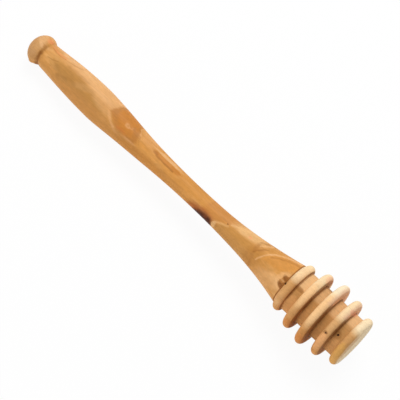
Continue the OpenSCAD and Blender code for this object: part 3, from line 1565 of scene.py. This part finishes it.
    def sapwood_marks(self) -> list[Mark]:
        """The cream sapwood on the upper side and the darker heart beside it, and painted light and shade.

        Returns:
            The marks, each on top of those before it.
        """
        cream = (255, 226, 180)
        white = (255, 238, 205)
        honey = (250, 201, 144)
        heart = (206, 153, 94)
        low = (214, 144, 74)
        golden = (228, 170, 84)
        pink = (252, 184, 124)
        whole = Facing.ALL_ROUND
        sides = ((127.0, -20.0), (163.0, -20.0), (163.0, -2.4), (127.0, -1.3))
        second, third, fourth = (self.ring_at(ring) for ring in (1, 2, 3))
        return [
            Wedge("sapwood", cream, 0.95, sides, 2, facing=whole),
            # Painted highlights on the tops of the third and the last ring.
            Patch("white top of the third ring", white, 0.7, (144.9, -11), 2, 4, facing=whole),
            Patch("white top of the last ring", white, 0.35, (158.6, -7), 1.6, 3.4, facing=whole),
            Patch("rosy upper part of the first ring", pink, 0.3, (131.6, -5), 1.4, 3.4),
            Patch("heartwood", heart, 0.5, (145, 0.2), 40, 3.6),
            Patch("darker end of the heart", heart, 0.35, (156.5, 1), 7, 5, 0, 0.5),
            # Paler wood on the middle rings' crests, with painted light where the crests stand out.
            Patch("pale crest, second ring", honey, 0.9, (second, -1.5), 1.7, 5.5, least_r=10.4),
            Patch("pale crest, third ring", honey, 1, (third, -0.5), 1.8, 7, 0, 0.7, least_r=10.8),
            Patch("pale crest, fourth ring", honey, 0.3, (fourth, -1.5), 1.8, 5, least_r=10.4),
            # Painted shade on the head's low side, away from the key lamp.
            Patch("darker low side", low, 0.55, (143, 13), 13, 5.5, 0, 0.6, facing=whole),
            Patch("golden low side of the tip", golden, 0.6, (158.4, 6.5), 1.6, 4.5, 0, 0.5),
            Patch("pink low side of the fourth ring", pink, 0.65, (151.7, 6.8), 1.5, 3.4, 0, 0.7),
        ]

    def groove_marks(self) -> list[Mark]:
        """Painted shade in the grooves and on the walls, painted light on some of both, and the end grain.

        Returns:
            The marks, each on top of those before it.
        """
        floor = (188, 137, 80)
        light_floor = (238, 192, 138)
        brown = (122, 70, 28)
        pink = (246, 196, 158)
        honey = (222, 162, 100)
        end_grain = (255, 232, 192)
        ring_line = (214, 160, 100)
        whole = Facing.ALL_ROUND
        bottom = self.groove_r + 0.5
        # For each groove: where its paler upper wood ends and how pale that is
        grooves = ((-1.5, 0.75), (-1.6, 0.4), (-1.8, 0.5), (-3.6, 0.75))
        marks: list[Mark] = []
        for ring, (edge, upper) in enumerate(grooves):
            here = self.ring_at(ring) + self.rim_r - 0.2
            there = self.ring_at(ring + 1) - self.rim_r + 0.2
            wall = self.ring_at(ring) + 1.25
            top = ((here, -12), (there, -12), (there, edge), (here, edge))
            # Painted shade on each groove's floor, paler on its upper part, and on the wall that faces the
            # tip.
            marks += [
                Band("painted shade in a groove", floor, 0.9, here, there, 0.2, facing=whole, most_r=bottom),
                Wedge("paler upper part of a groove", light_floor, upper, top, 1.6, facing=whole, most_r=bottom),
                Band("shaded wall", brown, 0.62, wall, wall + 0.9, 0.35, most_r=self.ring_r(ring) - 0.9),
            ]
        # Painted light on the upper part of the tip-facing walls of the third and fourth rings.
        for wall in (self.ring_at(2), self.ring_at(3)):
            top = ((wall + 0.7, -16), (wall + 2.4, -16), (wall + 2.4, -4.4), (wall + 0.7, -4))
            marks.append(Wedge("painted light on the upper wall", pink, 0.85, top, 2, facing=whole, least_r=bottom))
        # Painted light: the groove's painted shade is lifted on its low side.
        for place, share in ((134.8, 0.8), (141.5, 0.4), (148.3, 0.2), (155, 0.7)):
            low = (place, 6)
            marks.append(Patch("low side of a groove", honey, share, low, 1.8, 4.2, 0, 0.5, most_r=bottom))
        face = self.ring_at(self.ring_count - 1) + 1.45
        beyond = face + 3
        far = Facing.PAST_THE_FRONT
        return marks + [
            Band("end grain", end_grain, 0.35, face, beyond, 0.2, facing=whole),
            # End grain, with painted light on the half away from the camera, which shows as a pale strip.
            Band("end grain with painted light on the far half", end_grain, 1, face, beyond, 0.2, facing=far),
            YearRings("rings in the end face", ring_line, 0.4, face, facing=whole),
        ]

    def small_marks(self) -> list[Mark]:
        """Knots, spots and stains of the head, and painted shade along a groove's edge.

        Returns:
            The marks, each on top of those before it.
        """
        brown = (132, 80, 34)
        black = (40, 18, 8)
        rosy = (244, 164, 128)
        orange = (216, 134, 68)
        return [
            Patch("rosy spot on the tip side", rosy, 0.45, (153.3, -7.5), 0.9, 0.8, 0, 0.8),
            Patch("rosy top of the second ring", rosy, 0.4, (139.4, -10.8), 1, 1.8),
            Patch("orange foot of the third ring", orange, 0.6, (145.2, 11.5), 1.4, 1.6, 0, 0.8),
            Patch("orange foot of the second ring", orange, 0.5, (138.6, 10.2), 1.2, 1.2, 0, 0.8),
            Patch("heart of the knot at the joint", black, 0.95, (129.6, 0.9), 0.45, 0.42, 0, 0.5),
            # Painted shade along the upper edge of the second groove.
            Streak("dark edge of the groove", brown, 0.5, (139.8, -7.9), (142.4, -7.9), 0.5),
            Patch("stain in the first groove", brown, 0.4, (134.4, -0.9), 1.6, 0.9, 0, 0.5),
            Patch("stain round the knot", brown, 0.4, (154.4, 1.5), 1.5, 1.6, 0, 0.5),
            Patch("pin knot in the groove", black, 0.97, (154.6, 1.4), 0.4, 0.38, 0, 0.5),
            Patch("brown ring of the pin knot", brown, 0.55, (151.3, 3.6), 0.9, 0.6, 0, 0.5),
            Patch("pin knot on the ring", black, 0.85, (151.5, 3.7), 0.34, 0.28, 0, 0.5),
        ]


@dataclass(frozen=True)
class PhotoCamera:
    """The camera of the photograph.

    Attributes:
        lens: The lens.
        sensor: The width of the sensor that the lens is for.
        nearest: The least distance that it sees, in metres.
        distance: The distance to the aimed place.
        aim: The aimed place along the axis.
        tip_lean: How far the tip comes nearer than square to the view, in degrees.
        axis_right: The share of the picture's right that runs along the axis.
        axis_down: The share of the picture's down that runs along the axis.
        nudge: How far the camera stands to the left of the aimed place and below it.
    """

    lens: float = 153.47
    sensor: float = 36.0
    nearest: float = 0.01
    distance: float = 600.0
    aim: float = 85.81
    tip_lean: float = 13.1
    axis_right: float = 0.72853
    axis_down: float = 0.68502
    nudge: Place = (0.17, -0.006)

    def build(self, axis: TurningAxis) -> None:
        """Places the camera and makes it the scene's.

        Args:
            axis: The line that the piece was turned on.
        """
        lean = math.radians(self.tip_lean)
        back = axis.along * math.sin(lean) + axis.toward * math.cos(lean)
        run = axis.along * math.cos(lean) - axis.toward * math.sin(lean)
        right = run * self.axis_right - axis.across * self.axis_down
        up = -run * self.axis_down - axis.across * self.axis_right
        place = axis.point(self.aim, 0, 0) + back * self.distance * MM
        place -= right * self.nudge[0] * MM + up * self.nudge[1] * MM
        turned = Matrix((right, up, back)).transposed().to_4x4()
        data = bpy.data.cameras.new("photo_camera")
        data.lens = self.lens
        data.sensor_width = self.sensor
        data.clip_start = self.nearest
        camera = add_object("photo_camera", data)
        camera.matrix_world = Matrix.Translation(place) @ turned
        bpy.context.scene.camera = camera


@dataclass(frozen=True)
class Lamp:
    """A square lamp that faces the dipper.

    Attributes:
        name: Its name.
        along: How far its direction goes along the axis.
        across: How far it goes across, towards the lower left of the picture.
        toward: How far it goes towards the camera.
        level: The brightness that it gives a white surface facing it.
        size: Its side in metres.
        away: Its distance in metres.
    """

    name: str
    along: float
    across: float
    toward: float
    level: float
    size: float
    away: float = 1.0

    def build(self, axis: TurningAxis, target: Vector) -> None:
        """Adds the lamp, turned to the target.

        Args:
            axis: The line that the piece was turned on.
            target: The point that it faces, in metres.
        """
        way = axis.along * self.along + axis.across * self.across + axis.toward * self.toward
        way.normalize()
        data = bpy.data.lights.new(self.name, "AREA")
        data.size = self.size
        data.energy = self.level * (math.pi * self.away) ** 2
        turned = way.to_track_quat("Z", "Y").to_matrix().to_4x4()
        add_object(self.name, data).matrix_world = Matrix.Translation(target + way * self.away) @ turned


@dataclass(frozen=True)
class Studio:
    """The white floor, the pale surroundings and the soft lamps.

    Attributes:
        floor_half: Half the side of the floor in metres.
        floor_glow: How much of the floor is plain white to the camera, over its lit white.
        fill: The strength of the light from all round.
        middle: The place along the axis that the lamps face.
        lamps: The lamps.
    """

    floor_half: float = 3.0
    floor_glow: float = 0.94
    fill: float = 0.38
    middle: float = 80.0
    lamps: tuple[Lamp, ...] = (
        Lamp("key", along=-0.12, across=-0.72, toward=0.65, level=0.67, size=0.50),
        Lamp("low_side", along=-0.30, across=0.75, toward=0.60, level=0.29, size=0.50),
    )

    def seen(self, graph: Graph) -> Socket:
        """1 for rays of the camera and of mirror images."""
        path = graph.node("ShaderNodeLightPath")
        return path.of("Is Camera Ray").math("MAXIMUM", path.of("Is Glossy Ray"))

    def build(self, axis: TurningAxis) -> None:
        """Adds the floor, the world and the lamps.

        Args:
            axis: The line that the piece was turned on.
        """
        self.floor()
        self.surroundings()
        for lamp in self.lamps:
            lamp.build(axis, axis.point(self.middle, 0, 0))

    def floor(self) -> None:
        """A white floor, which keeps a faint shadow."""
        half = self.floor_half
        mesh = bpy.data.meshes.new("floor")
        corners = [(-half, -half, 0), (half, -half, 0), (half, half, 0), (-half, half, 0)]
        mesh.from_pydata(corners, [], [(0, 1, 2, 3)])
        floor = add_object("floor", mesh)
        paint = bpy.data.materials.new("white_floor")
        paint.use_nodes = True
        graph = Graph(paint.node_tree)
        white = {"Base Color": (0.94, 0.94, 0.94), "Roughness": 0.9}
        lit = graph.node("ShaderNodeBsdfPrincipled", inputs=white)
        plain = graph.node("ShaderNodeEmission", inputs={"Color": (1, 1, 1), "Strength": 1.0})
        share = self.seen(graph) * self.floor_glow
        mixed = graph.node("ShaderNodeMixShader", inputs={0: share, 1: lit, 2: plain})
        graph.node("ShaderNodeOutputMaterial", inputs={"Surface": mixed})
        mesh.materials.append(paint)

    def surroundings(self) -> None:
        """A white world that lights the object less than it shines."""
        world = bpy.data.worlds.new("white_room")
        world.use_nodes = True
        graph = Graph(world.node_tree)
        seen = self.seen(graph)
        strength = seen + (1 - seen) * self.fill
        air = graph.node("ShaderNodeBackground", inputs={"Color": (1, 1, 1), "Strength": strength})
        graph.node("ShaderNodeOutputWorld", inputs={"Surface": air})
        bpy.context.scene.world = world


def main() -> None:
    """Builds the dipper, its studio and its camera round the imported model."""
    logging.basicConfig(level=logging.INFO, format="%(name)s: %(message)s")
    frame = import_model()
    axis = TurningAxis.from_record(frame["record"], length=160.0, view_rise=66.0)
    lathe = Lathe()
    Handle("turned_handle", "handle", "handle_wood", seed=3).build(axis, lathe)
    DipperHead("turned_head", "dipper_head", "head_wood", segments=240, seed=8).build(axis, lathe)
    Studio().build(axis)
    PhotoCamera().build(axis)
    bpy.context.scene.view_settings.view_transform = "Standard"


if __name__ == "__main__":
    main()
